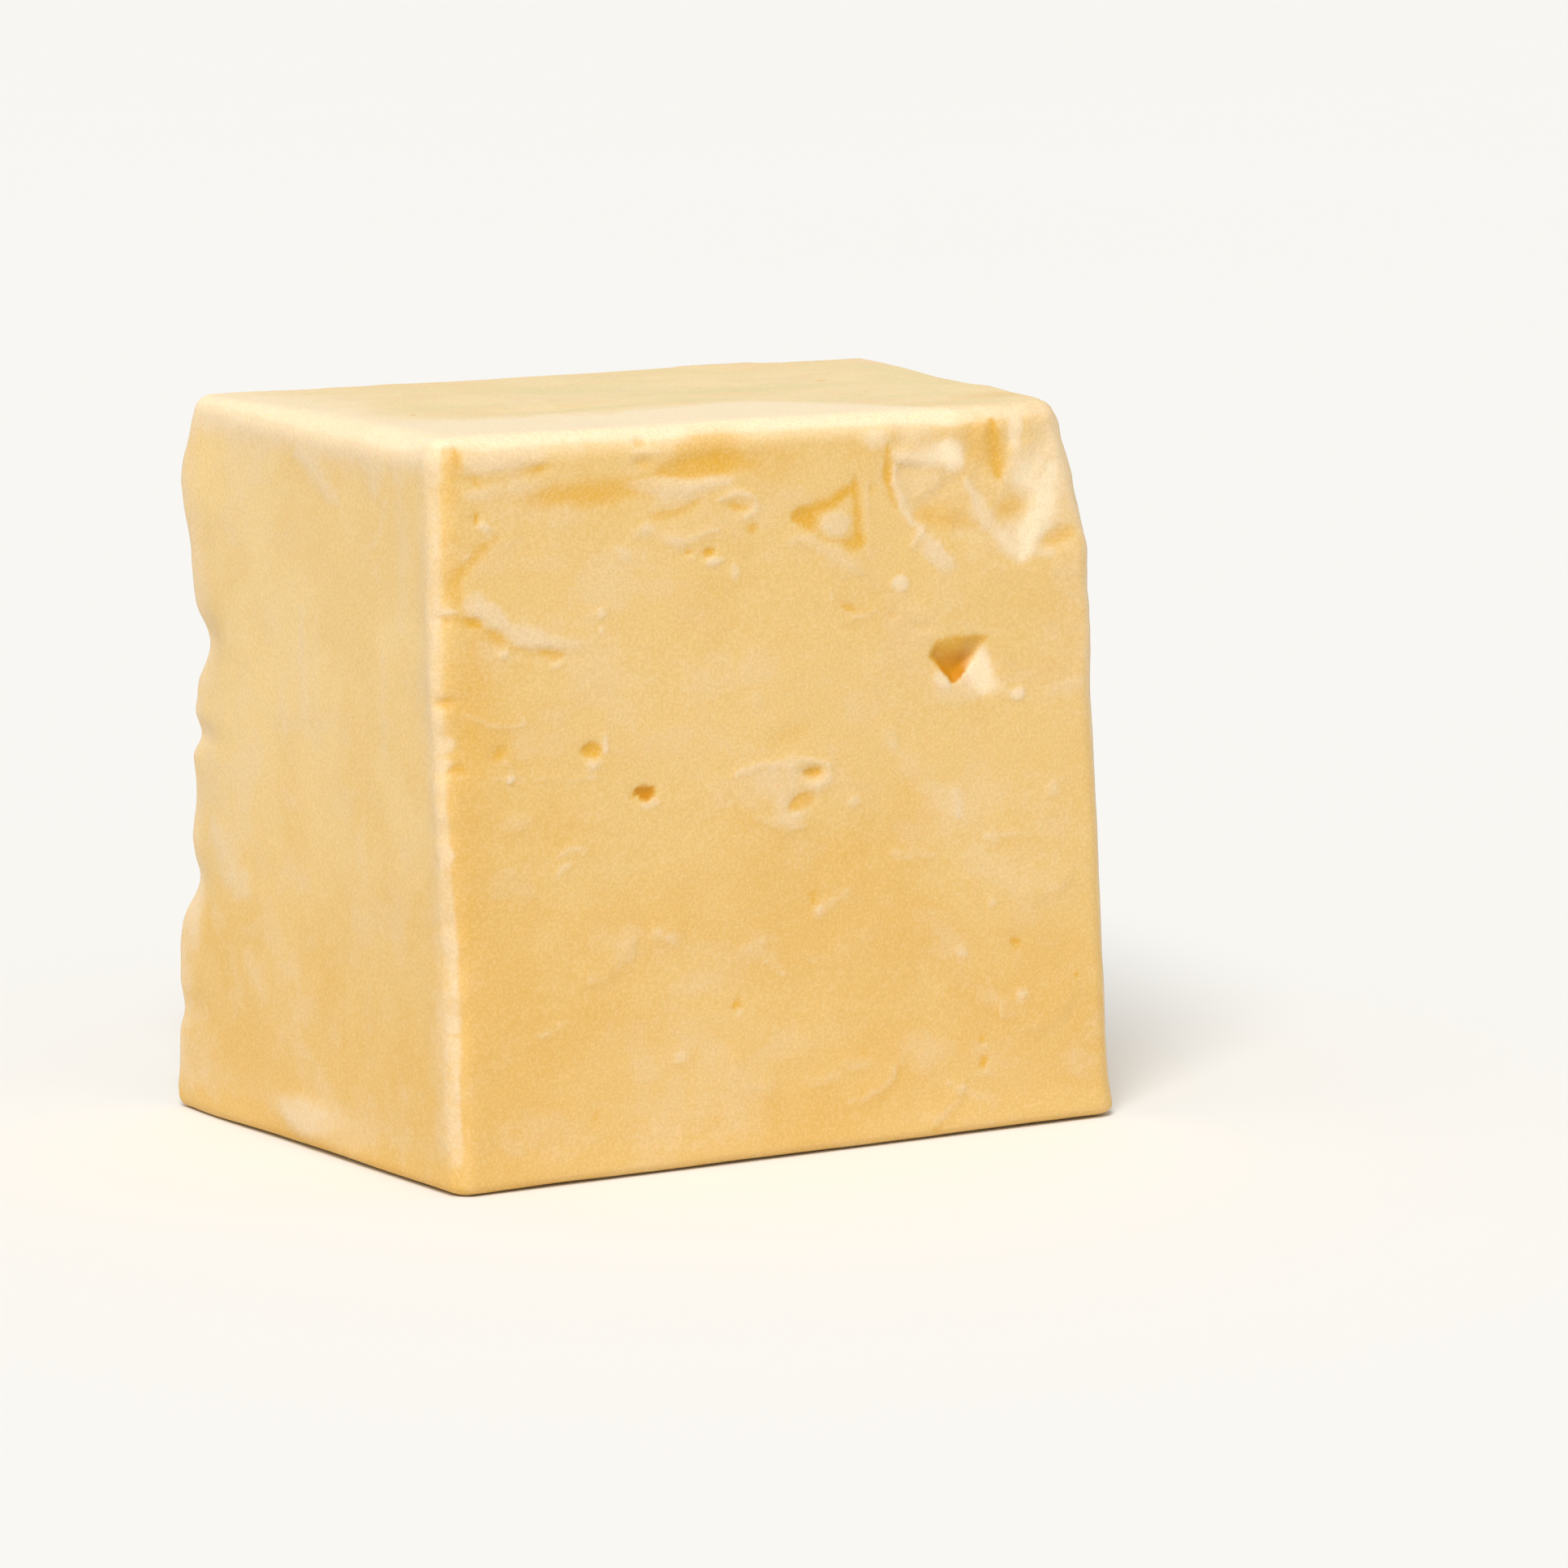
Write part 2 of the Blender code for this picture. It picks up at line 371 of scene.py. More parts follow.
def mark_eyes(marks):
    """The pointed eye with its pale funnel at the lower right, and the small one. Their
    shade is painted in: darker gold inside, and a brownish core towards the bottom.
    """
    x = marks.x + 0.25 * marks.ragged
    z = marks.z + 0.25 * marks.grain
    away = region_distance(x, z, ((77.3, 70.2), (78.7, 72.3), (83.1, 72.8), (87.3, 72.4),
                                  (85.9, 69.2), (83.5, 67.2), (81.3, 66), (79.7, 67.8)))
    marks.dab((86.1, 67.8), (2.5, 3.6), 0.5, 0.5, lift=-0.7, pale=0.8, cream=0.7)
    marks.dab((83.6, 64.6), (6.4, 1.9), 0.06, 0.7, lift=0.05, pale=0.5)
    marks.dab((79.4, 66.6), (1.6, 1.1), -0.5, 0.5, lift=0.15, pale=0.8, cream=0.3)
    downwards = smooth(72.8, 68.4, z)
    marks.add(smooth(0.3, -1.2, away) * (0.2 + 0.8 * downwards), lift=-1.3)
    # Painted shade: darker gold over the eye, and a brownish core low in it.
    marks.add(smooth(0.6, -0.6, away), deep=1)
    marks.add(smooth(0.3, -0.9, away) * smooth(73.4, 67.6, z), core=0.85)
    marks.add(smooth(0.4, -0.1, away) * smooth(69.4, 67, z), core=0.9)
    marks.stroke(((76.7, 73.4), (82.7, 74.4), (89.1, 72.6)), 0.9, pale=0.3)
    marks.dab((92.3, 63.7), (1.2, 1.1), 0, 0.5, lift=0.2, pale=0.85, cream=0.4)
    marks.dab((30.6, 54.5), (1.5, 0.85), -0.1, 0.4, lift=-0.4, deep=1, core=0.75)
    marks.dab((30.8, 53.7), (0.8, 0.6), 0, 0.4, lift=-0.1, deep=0.9, core=0.75)
    marks.stroke(((28.2, 53.9), (29.8, 54.3)), 0.5, lift=-0.2, deep=0.7)
    marks.dab((31.3, 52.6), (1.5, 0.6), 0.1, 0.6, lift=0.08, pale=0.6)


def mark_upper_left(marks):
    """A leaf hanging from the top edge, a curved one below it, and their crumbs. Its
    darker gold is painted shade under the leaves and in the small pits, and also lies
    in broad patches.
    """
    marks.stroke(((1.9, 104), (2.2, 101)), 0.8, 0.4, lift=-0.12, deep=0.6)
    marks.dabs("deep", (
        (0.8, 98, 1.8, 1.8, 0.3, 0.8, 0, 0.34),
        (21.6, 96.6, 9.6, 1.6, 0.03, 0.7, -0.12, 0.62),
        (24, 97.4, 16, 4.2, 0.05, 0.8, 0, 0.26),
        (1.6, 101.6, 1.3, 1.7, 0, 0.8, 0, 0.5),
        (16, 86, 11, 8, 0, 0.9, 0, 0.14),
        (4.8, 94.2, 0.6, 0.9, 0.4, 0.4, -0.25, 0.85),
        (4.4, 79.8, 1.5, 0.8, -0.1, 0.5, -0.15, 0.8),
        (7.4, 77.6, 1.6, 1, -0.5, 0.5, -0.1, 0.55),
        (12, 89.4, 2.2, 1.4, 0, 0.9, -0.12, 0.16)))
    marks.dabs("pale", (
        (6.8, 102, 5.4, 1.9, 0.08, 0.5, 0.1, 0.65),
        (12.4, 102.4, 5, 1.3, 0.1, 0.7, 0.06, 0.5),
        (5.6, 97.5, 3.4, 1.2, 0.05, 0.6, 0.06, 0.5),
        (11.6, 98, 2.9, 1.5, -0.3, 0.6, 0.05, 0.45),
        (6, 93, 1.2, 0.7, -0.3, 0.5, 0.12, 0.75),
        (6.8, 91.4, 1.1, 1.2, 0, 0.7, 0, 0.4),
        (4.4, 82.4, 1.6, 1.8, -0.5, 0.5, 0.06, 0.6),
        (7, 80.6, 2.6, 1.7, -0.5, 0.4, 0.1, 0.8),
        (12.4, 77.4, 4.2, 1.5, -0.35, 0.5, 0.08, 0.7),
        (17.8, 75.9, 3.2, 1.2, -0.1, 0.7, 0.04, 0.4),
        (8.6, 75.2, 0.8, 0.7, 0.3, 0.5, 0.2, 0.6),
        (17, 73.2, 1.9, 0.6, 0.2, 0.5, 0.1, 0.45),
        (1, 81.6, 1.2, 0.5, 0, 0.5, 0.1, 0.7),
        (24, 79.9, 0.9, 0.8, 0, 0.5, 0.2, 0.65),
        (24, 77.4, 0.6, 0.6, 0, 0.5, 0.15, 0.55)))
    marks.lip(((2.6, 104), (2.6, 101), (4.3, 99.9), (6.8, 99.1), (9, 99.4), (9.5, 98.5),
               (10.4, 99.5), (13, 100.4), (17, 101.8)), 2.4, 0.1, 0.5, 0.95)
    marks.stroke(((8.4, 91.4), (5.2, 89.6), (3.3, 87.7), (2.1, 86.4), (1.6, 84.4), (2, 82.6)),
                 1.1, lift=-0.08, deep=0.5)
    marks.stroke(((3.6, 89.4), (2.8, 88.2)), 0.5, lift=0.15, pale=0.6)
    marks.lip(((8, 91), (4.4, 88.2), (2.7, 85.4), (2.5, 83), (3, 81.6), (5.7, 79.4),
               (8.1, 78.5), (9.6, 76.8), (12.5, 75.2), (15.2, 76), (18.4, 74.4), (24, 74.6)),
              4.2, 0.12, 0.5, 0.5)
    marks.stroke(((14.6, 75), (18.2, 74.4)), 0.8, lift=-0.15, deep=0.7)
    marks.stroke(((0.2, 80.6), (2, 80.4), (4.6, 80)), 0.6, lift=-0.1, deep=0.5)
    marks.dab((-1, 80.6), (0.8, 0.7), 0, 0.5, lift=-0.15, bloom=1)
    marks.dab((3.1, 87.9), (0.6, 0.5), 0.4, 0.5, bloom=0.7)
    marks.stroke(((10, 76.8), (20, 76.1), (33, 74.9)), 0.35, 0.1, lift=0.06, pale=0.3)


def mark_top_hollow(marks):
    """The dip under the top edge, its shade painted in darker gold, with a ledge, curls and
    pits below it.
    """
    marks.dabs("deep", (
        (40.4, 99.3, 7.4, 1.6, 0.03, 0.5, -0.25, 0.74),
        (41.4, 102.2, 4.8, 2.6, 0.2, 0.6, -0.15, 0.62),
        (52, 99, 9, 3, 0, 0.8, 0, 0.28),
        (36.4, 101, 1.8, 1, 0.9, 0.6, 0, 0.3),
        (30.6, 103.2, 0.9, 0.7, 0, 0.5, -0.3, 0.45),
        (30.8, 100.4, 1.5, 0.7, 0, 0.6, -0.3, 0.35),
        (45.9, 93.4, 1.8, 0.7, -0.2, 0.5, -0.15, 0.7),
        (48.3, 90.2, 1, 0.8, 0.3, 0.5, -0.15, 0.7)))
    marks.stroke(((29.4, 101.9), (34, 101.7)), 0.7, lift=0.1, pale=0.45)
    marks.dabs("pale", (
        (34.6, 97, 5.4, 1.2, -0.08, 0.5, 0.08, 0.85),
        (42.6, 97.2, 4, 0.9, 0, 0.6, 0.06, 0.7),
        (37, 95.2, 4.6, 1.4, 0.1, 0.7, 0.03, 0.4),
        (40, 91.2, 9, 3.6, -0.1, 0.8, 0.1, 0.26),
        (27.4, 88.2, 1.9, 1, -0.6, 0.6, 0.15, 0.5),
        (30.6, 90.8, 1.5, 1, 0.3, 0.6, 0.12, 0.42),
        (36, 88.7, 2, 0.7, -0.2, 0.6, 0.12, 0.38),
        (42.4, 85.9, 1.5, 0.7, 0.2, 0.5, 0.15, 0.6),
        (45.4, 84.2, 0.9, 1.5, 0.2, 0.6, 0.12, 0.5)))
    marks.lip(((50, 94.6), (44.6, 96.9), (40, 97.9), (38.4, 96.9), (36, 97.5),
               (31.8, 97.9), (28.4, 98.4)), 1.9, 0.12, 0.5, 0.2)
    marks.stroke(((32, 92.7), (36, 93), (40.4, 94.8)), 0.9, lift=-0.1, deep=0.6)
    marks.stroke(((43, 94.6), (46, 95.6), (48.6, 94.6), (49, 92.8), (46.6, 91.6)), 0.6,
                 lift=0.2, pale=0.5)
    marks.stroke(((31, 91.6), (34, 89.8), (38, 89.2), (42.6, 90.6)), 0.6, lift=0.15,
                 pale=0.32)
    marks.pit((38.1, 87.6), 0.7, 0.6)
    marks.pit((41.3, 87.4), 1, 0.75)


def mark_triangle(marks):
    """The three-cornered crack with a chip standing in it, and the curls under it. The
    crack's shade is painted in darker gold with a little brownish core.
    """
    marks.stroke(((55, 91), (58, 92.2), (61.2, 92.9), (65, 95.2)), 1.3, 0.3,
                 lift=-0.15, deep=0.95, core=0.12)
    marks.dab((57.1, 91), (2.3, 1.5), -0.6, 0.5, lift=-0.15, deep=0.9, core=0.2)
    marks.stroke(((65.2, 96.4), (65.6, 91), (65.8, 87)), 1, 0.25, lift=-0.15, deep=0.8)
    marks.dabs("deep", (
        (65.2, 87.2, 1.9, 1.3, 0.4, 0.5, -0.12, 0.8),
        (64, 78, 1.7, 0.7, -0.3, 0.6, -0.12, 0.7),
        (71.2, 76.5, 1, 0.6, 0.2, 0.6, -0.2, 0.32),
        (76.2, 74.5, 2.2, 0.7, -0.1, 0.7, -0.2, 0.25)))
    marks.stroke(((57.6, 90), (60.6, 88), (64.4, 86.9)), 0.6, lift=-0.08, deep=0.55)
    marks.dabs("pale", (
        (61.8, 90, 2.8, 1.9, 0.2, 0.4, 0.04, 0.6),
        (50.8, 86, 2.2, 1.4, 0, 0.8, 0, 0.3),
        (78.8, 84.2, 3.2, 1.5, -0.6, 0.6, 0.12, 0.75)))
    marks.stroke(((67.1, 96), (67.2, 90), (67.8, 85.6)), 0.5, lift=0.1, pale=0.4)
    marks.stroke(((54.2, 88.2), (58.4, 87.9), (61.8, 85.6), (66.8, 82.8)), 1.5, 0.8,
                 lift=0.15, pale=0.45)
    marks.stroke(((60.8, 81), (61.4, 79), (63.1, 77.6), (66.1, 76.4), (69.2, 77.6)), 0.5,
                 lift=0.15, pale=0.38)
    marks.dab((72.6, 80.9), (1.6, 1.2), -0.3, 0.5, lift=0.15, pale=0.9, cream=0.25)
    marks.stroke(((76.8, 88.8), (75.4, 87.4), (74.4, 85.4)), 0.7, lift=0.15, pale=0.48)


def mark_torn_corner(marks):
    """The torn upper right: the face steps down to broken facets, each a tilted plane
    over the cell of its own centre and blended into the next. Dry ridges stand in it
    like a V, and golden dips lie between them, their gold painted shade."""
    x, z = marks.x + 0.8 * marks.ragged, marks.z + 0.8 * marks.drift
    away = region_distance(x, z, (
        (71.2, 106), (71, 97), (73.6, 90.6), (79.6, 86.8), (86.6, 84.4), (92, 82.2),
        (97.6, 83.2), (103.6, 85), (114.6, 89), (114.6, 110), (84.6, 110)))
    torn = smooth(1.2, -2.6, away) * smooth(105, 97, marks.x)
    random = np.random.default_rng(53)
    columns, rows = np.meshgrid(np.arange(70, 114, 4.6), np.arange(80, 110, 4.2))
    centres = np.column_stack([columns.ravel(), rows.ravel()])
    centres += random.uniform(-1.8, 1.8, centres.shape)
    base = random.uniform(-0.55, -0.05, len(centres))
    tilt = random.uniform(-0.12, 0.12, centres.shape)
    run = x[:, None] - centres[:, 0]
    rise = z[:, None] - centres[:, 1]
    reach = np.hypot(run, rise)
    plane = base + run * tilt[:, 0] + rise * tilt[:, 1]
    order = np.argsort(reach, axis=1)[:, :2]
    first, second = np.take_along_axis(reach, order, axis=1).T
    own, other = np.take_along_axis(plane, order, axis=1).T
    share = 0.5 * smooth(1.5, 0, second - first)
    facets = np.clip(own * (1 - share) + other * share, -1, 0.2)
    marks.add(torn, pale=0.3)
    marks.height += 0.6 * torn * facets

    marks.stroke(((70.8, 100.6), (70.6, 98), (71, 95), (72.2, 91.8)), 0.9, 0.5,
                 lift=-0.12, deep=0.75)
    marks.dabs("deep", (
        (70.6, 96.6, 1, 1.6, 0, 0.5, -0.1, 0.6),
        (68, 94.8, 0.8, 0.7, 0, 0.5, -0.1, 0.4),
        (80.8, 91.2, 4.4, 3.2, 0.1, 0.8, -0.1, 0.34),
        (86, 100.4, 3.2, 4.4, 0, 0.6, -0.15, 0.5),
        (91.6, 90.8, 2.6, 1.7, 0.3, 0.7, -0.15, 0.6),
        (99.6, 86.2, 3.4, 1.3, 0.25, 0.5, -0.12, 0.72)))
    marks.dab((68.8, 101.5), (2.3, 1.6), 0, 0.6, lift=0.04, pale=0.5, cream=0.3)
    marks.dabs("pale", (
        (75.2, 101.6, 3.4, 1.3, 0, 0.7, 0.04, 0.3),
        (97.2, 83.6, 1.6, 0.7, 0, 0.6, 0.06, 0.55),
        (100.4, 97, 4.2, 8, 0.1, 0.7, 0, 0.5)))
    marks.stroke(((72, 97.6), (72.6, 93), (76.2, 88), (79.6, 85.4)), 1, 0.9, lift=0.08,
                 pale=0.75)
    marks.dab((77, 94.6), (3.6, 2.2), 0.1, 0.7, cream=0.25)
    marks.stroke(((71.8, 99.2), (77, 98.6), (81.6, 98.6)), 1.4, 0.5, lift=0.08, pale=0.7,
                 cream=0.3)
    marks.dab((79.8, 99), (3.4, 1.5), 0.2, 0.7, lift=0.06, pale=0.5, cream=0.4)
    marks.dab((81.6, 98.8), (1.8, 2.2), 0.5, 0.6, lift=0.1, pale=0.6, cream=0.7)
    marks.stroke(((88.6, 103), (89.1, 99), (89.6, 94.8)), 1.9, 0.6, lift=-0.3, deep=0.95)
    marks.dab((92.5, 101.6), (1.3, 2.6), 0, 0.5, lift=0.08, pale=0.6, cream=0.5)
    marks.dab((94, 95.4), (2.9, 3.4), 0.5, 0.8, lift=0.08, pale=0.6, cream=0.6)
    marks.stroke(((83.8, 95.2), (85.5, 92.4), (87.8, 88.6), (91.8, 84.4)), 1.1, 0.7,
                 lift=0.06, pale=0.6, cream=0.3)
    marks.dab((92.4, 85.8), (3, 2.6), 0.3, 0.8, lift=0.04, pale=0.5, cream=0.35)
    marks.stroke(((98.6, 95.6), (97.4, 91), (95.5, 87.2), (93.2, 83.4)), 2.6, 1, lift=0.08,
                 pale=0.6, cream=0.8)
    marks.dab((94.6, 87.4), (1.4, 2.6), -0.4, 0.6, lift=0.06, cream=0.55)
    marks.stroke(((75.2, 90.6), (80.6, 89.4), (86, 88.4)), 1.4, 0.6, lift=-0.08, deep=0.5)
    marks.dab((98, 98), (2.4, 3.6), 0.1, 0.7, cream=0.3)


def mark_lower_front(marks):
    """The pale leaf with two holes, the knife lines and the smears round it. The holes
    and pits carry painted shade in darker gold and a brownish core, and there are broad
    darker gold dabs too.
    """
    marks.dabs("deep", (
        (0.4, 69, 1, 0.6, 0.2, 0.5, -0.3, 0.5),
        (1.6, 59.8, 1.2, 0.6, -0.1, 0.5, -0.25, 0.45),
        (62, 43.4, 7, 3, 0, 0.8, -0.1, 0.34),
        (74.4, 49.6, 3.4, 7, 0.6, 0.8, -0.1, 0.34),
        (95, 41.4, 7, 3, 0, 0.8, 0, 0.26),
        (54, 60.6, 4.4, 1.4, 0.3, 0.8, -0.08, 0.34)))
    marks.pit((7.8, 61.6), 1.1, 0.45, 0.6)
    marks.pit((22.3, 60.9), 1.5, 0.72)
    marks.stroke(((24, 63.6), (24.4, 60.4)), 0.45, 0.1, lift=0.25, pale=0.95)
    marks.stroke(((2.6, 67.6), (6.9, 65.2), (11.2, 65.2)), 0.45, lift=0.15, pale=0.5)
    marks.stroke(((11, 67), (11.6, 64.8)), 0.4, lift=0.15, pale=0.6)
    marks.stroke(((8.6, 61.2), (9.6, 58.6), (8.4, 57)), 0.45, lift=0.1, pale=0.35)
    marks.dabs("pale", (
        (9.4, 57.7, 0.6, 0.6, 0, 0.4, 0.25, 1),
        (22, 58.5, 0.9, 1.5, 0.4, 0.6, 0.12, 0.45),
        (10.4, 51.8, 2.6, 1.5, 0.1, 0.7, 0.12, 0.38),
        (70.6, 59.2, 1.8, 2.2, 0, 0.8, 0.1, 0.32),
        (92.9, 48.6, 2.4, 1, 0, 0.8, 0, 0.28),
        (98.2, 49.2, 1.2, 1.1, 0, 0.6, 0.12, 0.45),
        (64.7, 50.3, 1.3, 0.8, 0.3, 0.6, 0.12, 0.5),
        (48.9, 66.2, 1.4, 1.1, 0, 0.7, 0.08, 0.32),
        (57.5, 71.8, 1.8, 1.1, 0, 0.8, 0, 0.25),
        (95.6, 71, 3, 3.6, 0, 0.9, 0, 0.2),
        (102, 76, 4.6, 22, 0, 0.8, 0, 0.3)))
    marks.stroke(((1.6, 58.6), (8.8, 58.2), (17, 57.2), (27, 56.6)), 0.4, 0.25, lift=0.08,
                 pale=0.36)
    marks.stroke(((16, 46.2), (18.4, 47.6), (21, 46.8)), 0.7, 0.9, lift=0.15, pale=0.45)
    marks.stroke(((16.2, 43.4), (18.6, 45.6)), 0.8, 0.9, lift=0.15, pale=0.5)

    x, z = marks.x + 0.8 * marks.ragged, marks.z + 0.8 * marks.drift
    away = region_distance(x, z, ((44.5, 53.1), (45.2, 56), (49.5, 57), (56, 57),
                                  (60.2, 55.4), (59.8, 51.8), (56.6, 47.6), (50.9, 48.2),
                                  (46.6, 50.4)))
    torn_leaf = smooth(0.9, -1.6, away) * smooth(-1.2, 0.6, marks.drift + marks.ragged)
    marks.add(torn_leaf, lift=0.06, pale=0.5)
    marks.stroke(((45, 55.4), (49.5, 57), (53, 56.6), (56.5, 57), (60, 56.2)), 0.9,
                 0.7, lift=0.2, pale=0.5)
    marks.stroke(((60, 56.4), (60.6, 53.4), (57.8, 52.6), (55.6, 49.4)), 0.9, 0.6, lift=0.22,
                 pale=0.55)
    marks.stroke(((48, 49.6), (53, 47.8), (57.6, 47.4)), 0.9, 0.8, lift=0.12, pale=0.4)
    marks.dab((57.7, 55), (1.5, 0.8), 0, 0.4, lift=-0.45, deep=1, core=0.25)
    marks.dab((56, 51), (2.5, 1.3), 0.5, 0.4, lift=-0.35, deep=0.95, core=0.15)
    marks.stroke(((71.3, 57.6), (74.6, 54), (79, 50.4), (82.7, 48), (87.6, 43.8)), 2.8,
                 1.6, lift=0.06, pale=0.34)
    marks.stroke(((81.6, 50.6), (82.4, 46.4)), 0.8, lift=0.08, pale=0.6)
    marks.stroke(((87, 43.4), (95.6, 43)), 1, 0.8, lift=0.1, pale=0.42)
    marks.stroke(((70.8, 42.2), (78.4, 41.6)), 0.9, 0.8, lift=0.1, pale=0.5)
    marks.stroke(((88, 64.6), (97, 62.8), (104, 64.8)), 1.6, 1, pale=0.25)


def mark_left_margin(marks):
    """The deeper gold that runs down the front face beside its left edge, partly painted
    shade beside the pale edge band, and the dry nicks in that edge."""
    marks.stroke(((2.2, 101), (1.4, 92), (1.4, 84)), 1.9, 1.6, deep=0.18)
    marks.stroke(((4, 77), (3, 62), (3.6, 46), (3, 34)), 3.4, 1.2, deep=0.34)
    marks.dab((7, 71), (7, 5.4), 0, 0.9, deep=0.26)
    marks.dab((6.6, 62.4), (4.4, 3.6), 0, 0.9, deep=0.22)
    for place, halves in (((0.2, 63.2), (1.5, 1)), ((0, 60.4), (1, 0.7)),
                          ((0.2, 48), (1, 1.2)), ((0, 35), (1.2, 0.9)),
                          ((0.1, 24), (0.9, 0.7))):
        marks.dab(place, halves, 0.3, 0.7, lift=0.1, pale=0.7, cream=0.25)


def mark_front(marks):
    """All the marks of the front face. The top's cream runs over its upper edge, and low
    down it has more marks of the same kinds."""
    fading = smooth(99.6, 105, marks.z + 0.5 * marks.drift)
    fading *= 0.5 + 0.5 * smooth(6, 18, marks.x)
    marks.add(fading * smooth(98, 74, marks.x), cream=0.7)
    mark_left_margin(marks)
    mark_upper_left(marks)
    mark_top_hollow(marks)
    mark_torn_corner(marks)
    mark_triangle(marks)
    mark_eyes(marks)
    mark_lower_front(marks)
    scatter(marks, (6, 4), (104, 37), 34, 91)


def mark_left(marks):
    """Soft drawn streaks up and down the flank, blotches, and a hump at its foot, with
    painted shadow in darker gold along the foot.
    """
    for places, width, pale in (
            (((44.6, 100), (38, 97.6), (30.4, 93)), 1, 0.5),
            (((23, 101.6), (20.6, 98.6), (19.6, 94.6)), 1, 0.45),
            (((16.6, 96), (18.6, 91), (24.6, 85.4)), 0.9, 0.4),
            (((13, 100), (12, 88), (12.6, 77)), 1.3, 0.4),
            (((42.6, 77.6), (42, 70), (40.4, 60.6)), 1.2, 0.46),
            (((37, 78.6), (38, 71), (37, 64)), 0.8, 0.34),
            (((17.6, 74), (18.8, 66), (18.4, 59.4)), 1, 0.4),
            (((24, 50), (25.6, 44), (23, 38)), 1.2, 0.36),
            (((47.6, 64.4), (45.4, 59.8)), 1.6, 0.36),
            (((68.6, 43.4), (65, 39.6), (58, 34.8)), 2.6, 0.55),
            (((57.8, 25.6), (51.6, 20.4)), 2.6, 0.4),
            (((76, 37.4), (74, 30), (72.4, 25)), 1.4, 0.44),
            (((30, 24), (34, 18)), 2.2, 0.26)):
        marks.stroke(places, 1.7 * width, 1.4, lift=0.04, pale=pale)
    marks.dab((40.6, 4.6), (7, 2.6), 0.05, 0.6, lift=0.4, pale=0.52)
    # The first two rows are painted shadow: darker gold along the foot, under the hump.
    marks.dabs("deep", (
        (45, 1.2, 11, 1, 0, 0.6, -0.2, 0.35),
        (20, 1, 22, 1.6, 0, 0.7, 0, 0.35),
        (36, 53.4, 6, 7, 0, 0.9, -0.15, 0.12),
        (20, 30, 10, 9, 0, 0.9, -0.12, 0.1),
        (60, 12, 12, 7, 0, 0.9, 0, 0.1),
        (30, 88.4, 3.4, 2, 0.6, 0.8, -0.12, 0.14)))
    marks.add(smooth(98, 105.5, marks.z + 1.2 * marks.drift), pale=0.5, cream=0.6)


def mark_right(marks):
    """The right side, another cut face."""
    scatter(marks, (6, 8), (SIZE[1] - 6, SIZE[2] - 9), 46, 61)


def mark_back(marks):
    """The back, another cut face with one eye in it, darkened with painted shade in darker
    gold.
    """
    scatter(marks, (6, 8), (SIZE[0] - 4, SIZE[2] - 9), 60, 71)
    marks.dab((38, 62), (2.8, 1.9), 0.3, 0.35, lift=-2.2, deep=0.95)
    marks.dab((39.6, 58.8), (3.2, 1.4), 0.2, 0.6, lift=-0.2, pale=0.6)


def mark_top(marks):
    """The top: its front strip is dry and cream up to a wavy line that comes forward
    to the right, and behind it green-grey bloom lies in long bands."""
    limit = 24 - 22 * smooth(58, 90, marks.x)
    limit = limit + 3.6 * marks.drift + 2.4 * marks.ragged + 0.8 * marks.grain
    marks.add(smooth(limit + 7, limit - 6, marks.z), cream=1)
    marks.add(smooth(22, 0, marks.x + 6 * marks.drift + 3 * marks.ragged), cream=0.75)
    bands = smooth(-0.2, 0.6, marks.drift + 0.5 * marks.ragged)
    behind = smooth(limit - 3, limit + 8, marks.z)
    marks.add(bands * behind, bloom=0.4)
    for place, halves, strength in (
            ((50, 57), (12, 7), 0.45),
            ((70, 44), (15, 5), 0.6),
            ((22, 42), (10, 4), 0.35),
            ((102, 42), (8, 9), 0.45),
            ((84, 24), (12, 2.6), 0.5),
            ((36, 31), (11, 2.4), 0.35)):
        marks.dab(place, halves, 0, 0.7, lift=-0.12, bloom=strength)
    marks.dab((97, 17), (9, 5), 0.2, 0.8, lift=-0.2, deep=0.34)
    marks.dab((95, 6), (6, 2.4), 0.1, 0.8, deep=0.2)
    marks.dab((86, 76), (7, 3.4), 0, 0.7, lift=0.35, pale=0.3)
    marks.dab((60, 68), (24, 3), 0, 0.8, lift=0.1, pale=0.25)
    scatter(marks, (10, 34), (SIZE[0] - 8, SIZE[1] - 6), 22, 103)


def scatter(marks, low, high, count, seed):
    """Pits, crumbs, smears, clouds and short lips at random places in a rectangle."""
    random = np.random.default_rng(seed)
    places = random.uniform(low, high, (count, 2))
    sizes = random.uniform(0.6, 1.2, count)
    turns = random.uniform(-0.8, 0.8, count)
    kinds = random.integers(0, 5, count)
    for place, size, turn, kind in zip(places, sizes, turns, kinds):
        way = np.array([math.cos(turn), math.sin(turn)])
        if kind == 0:
            marks.pit(place, size, 0.6, turn)
        elif kind == 1:
            marks.dab(place, (1.3 * size, size), turn, 0.6, lift=0.15, pale=0.55)
        elif kind == 2:
            marks.stroke((place - 4.0 * size * way, place + 4.0 * size * way), 0.9 * size,
                         0.9, lift=0.12, pale=0.42)
        elif kind == 3:
            marks.dab(place, (5.0 * size, 3.0 * size), turn, 0.9, lift=0.08, pale=0.24)
        else:
            across = np.array([-way[1], way[0]])
            marks.lip((place - 5.0 * size * way, place - 2.0 * size * (way + across),
                       place + 2.0 * size * (way - across), place + 5.0 * size * way),
                      2.6 * size, 0.25, 0.5, 0.3)


# Each face: the axes across it and up it, the way it looks, its marks and its seed.
FACES = (
    (0, 2, (0.0, -1.0, 0.0), mark_front, 41),
    (1, 2, (1.0, 0.0, 0.0), mark_right, 61),
    (0, 2, (0.0, 1.0, 0.0), mark_back, 71),
    (1, 2, (-1.0, 0.0, 0.0), mark_left, 81),
    (0, 1, (0.0, 0.0, 1.0), mark_top, 51),
)


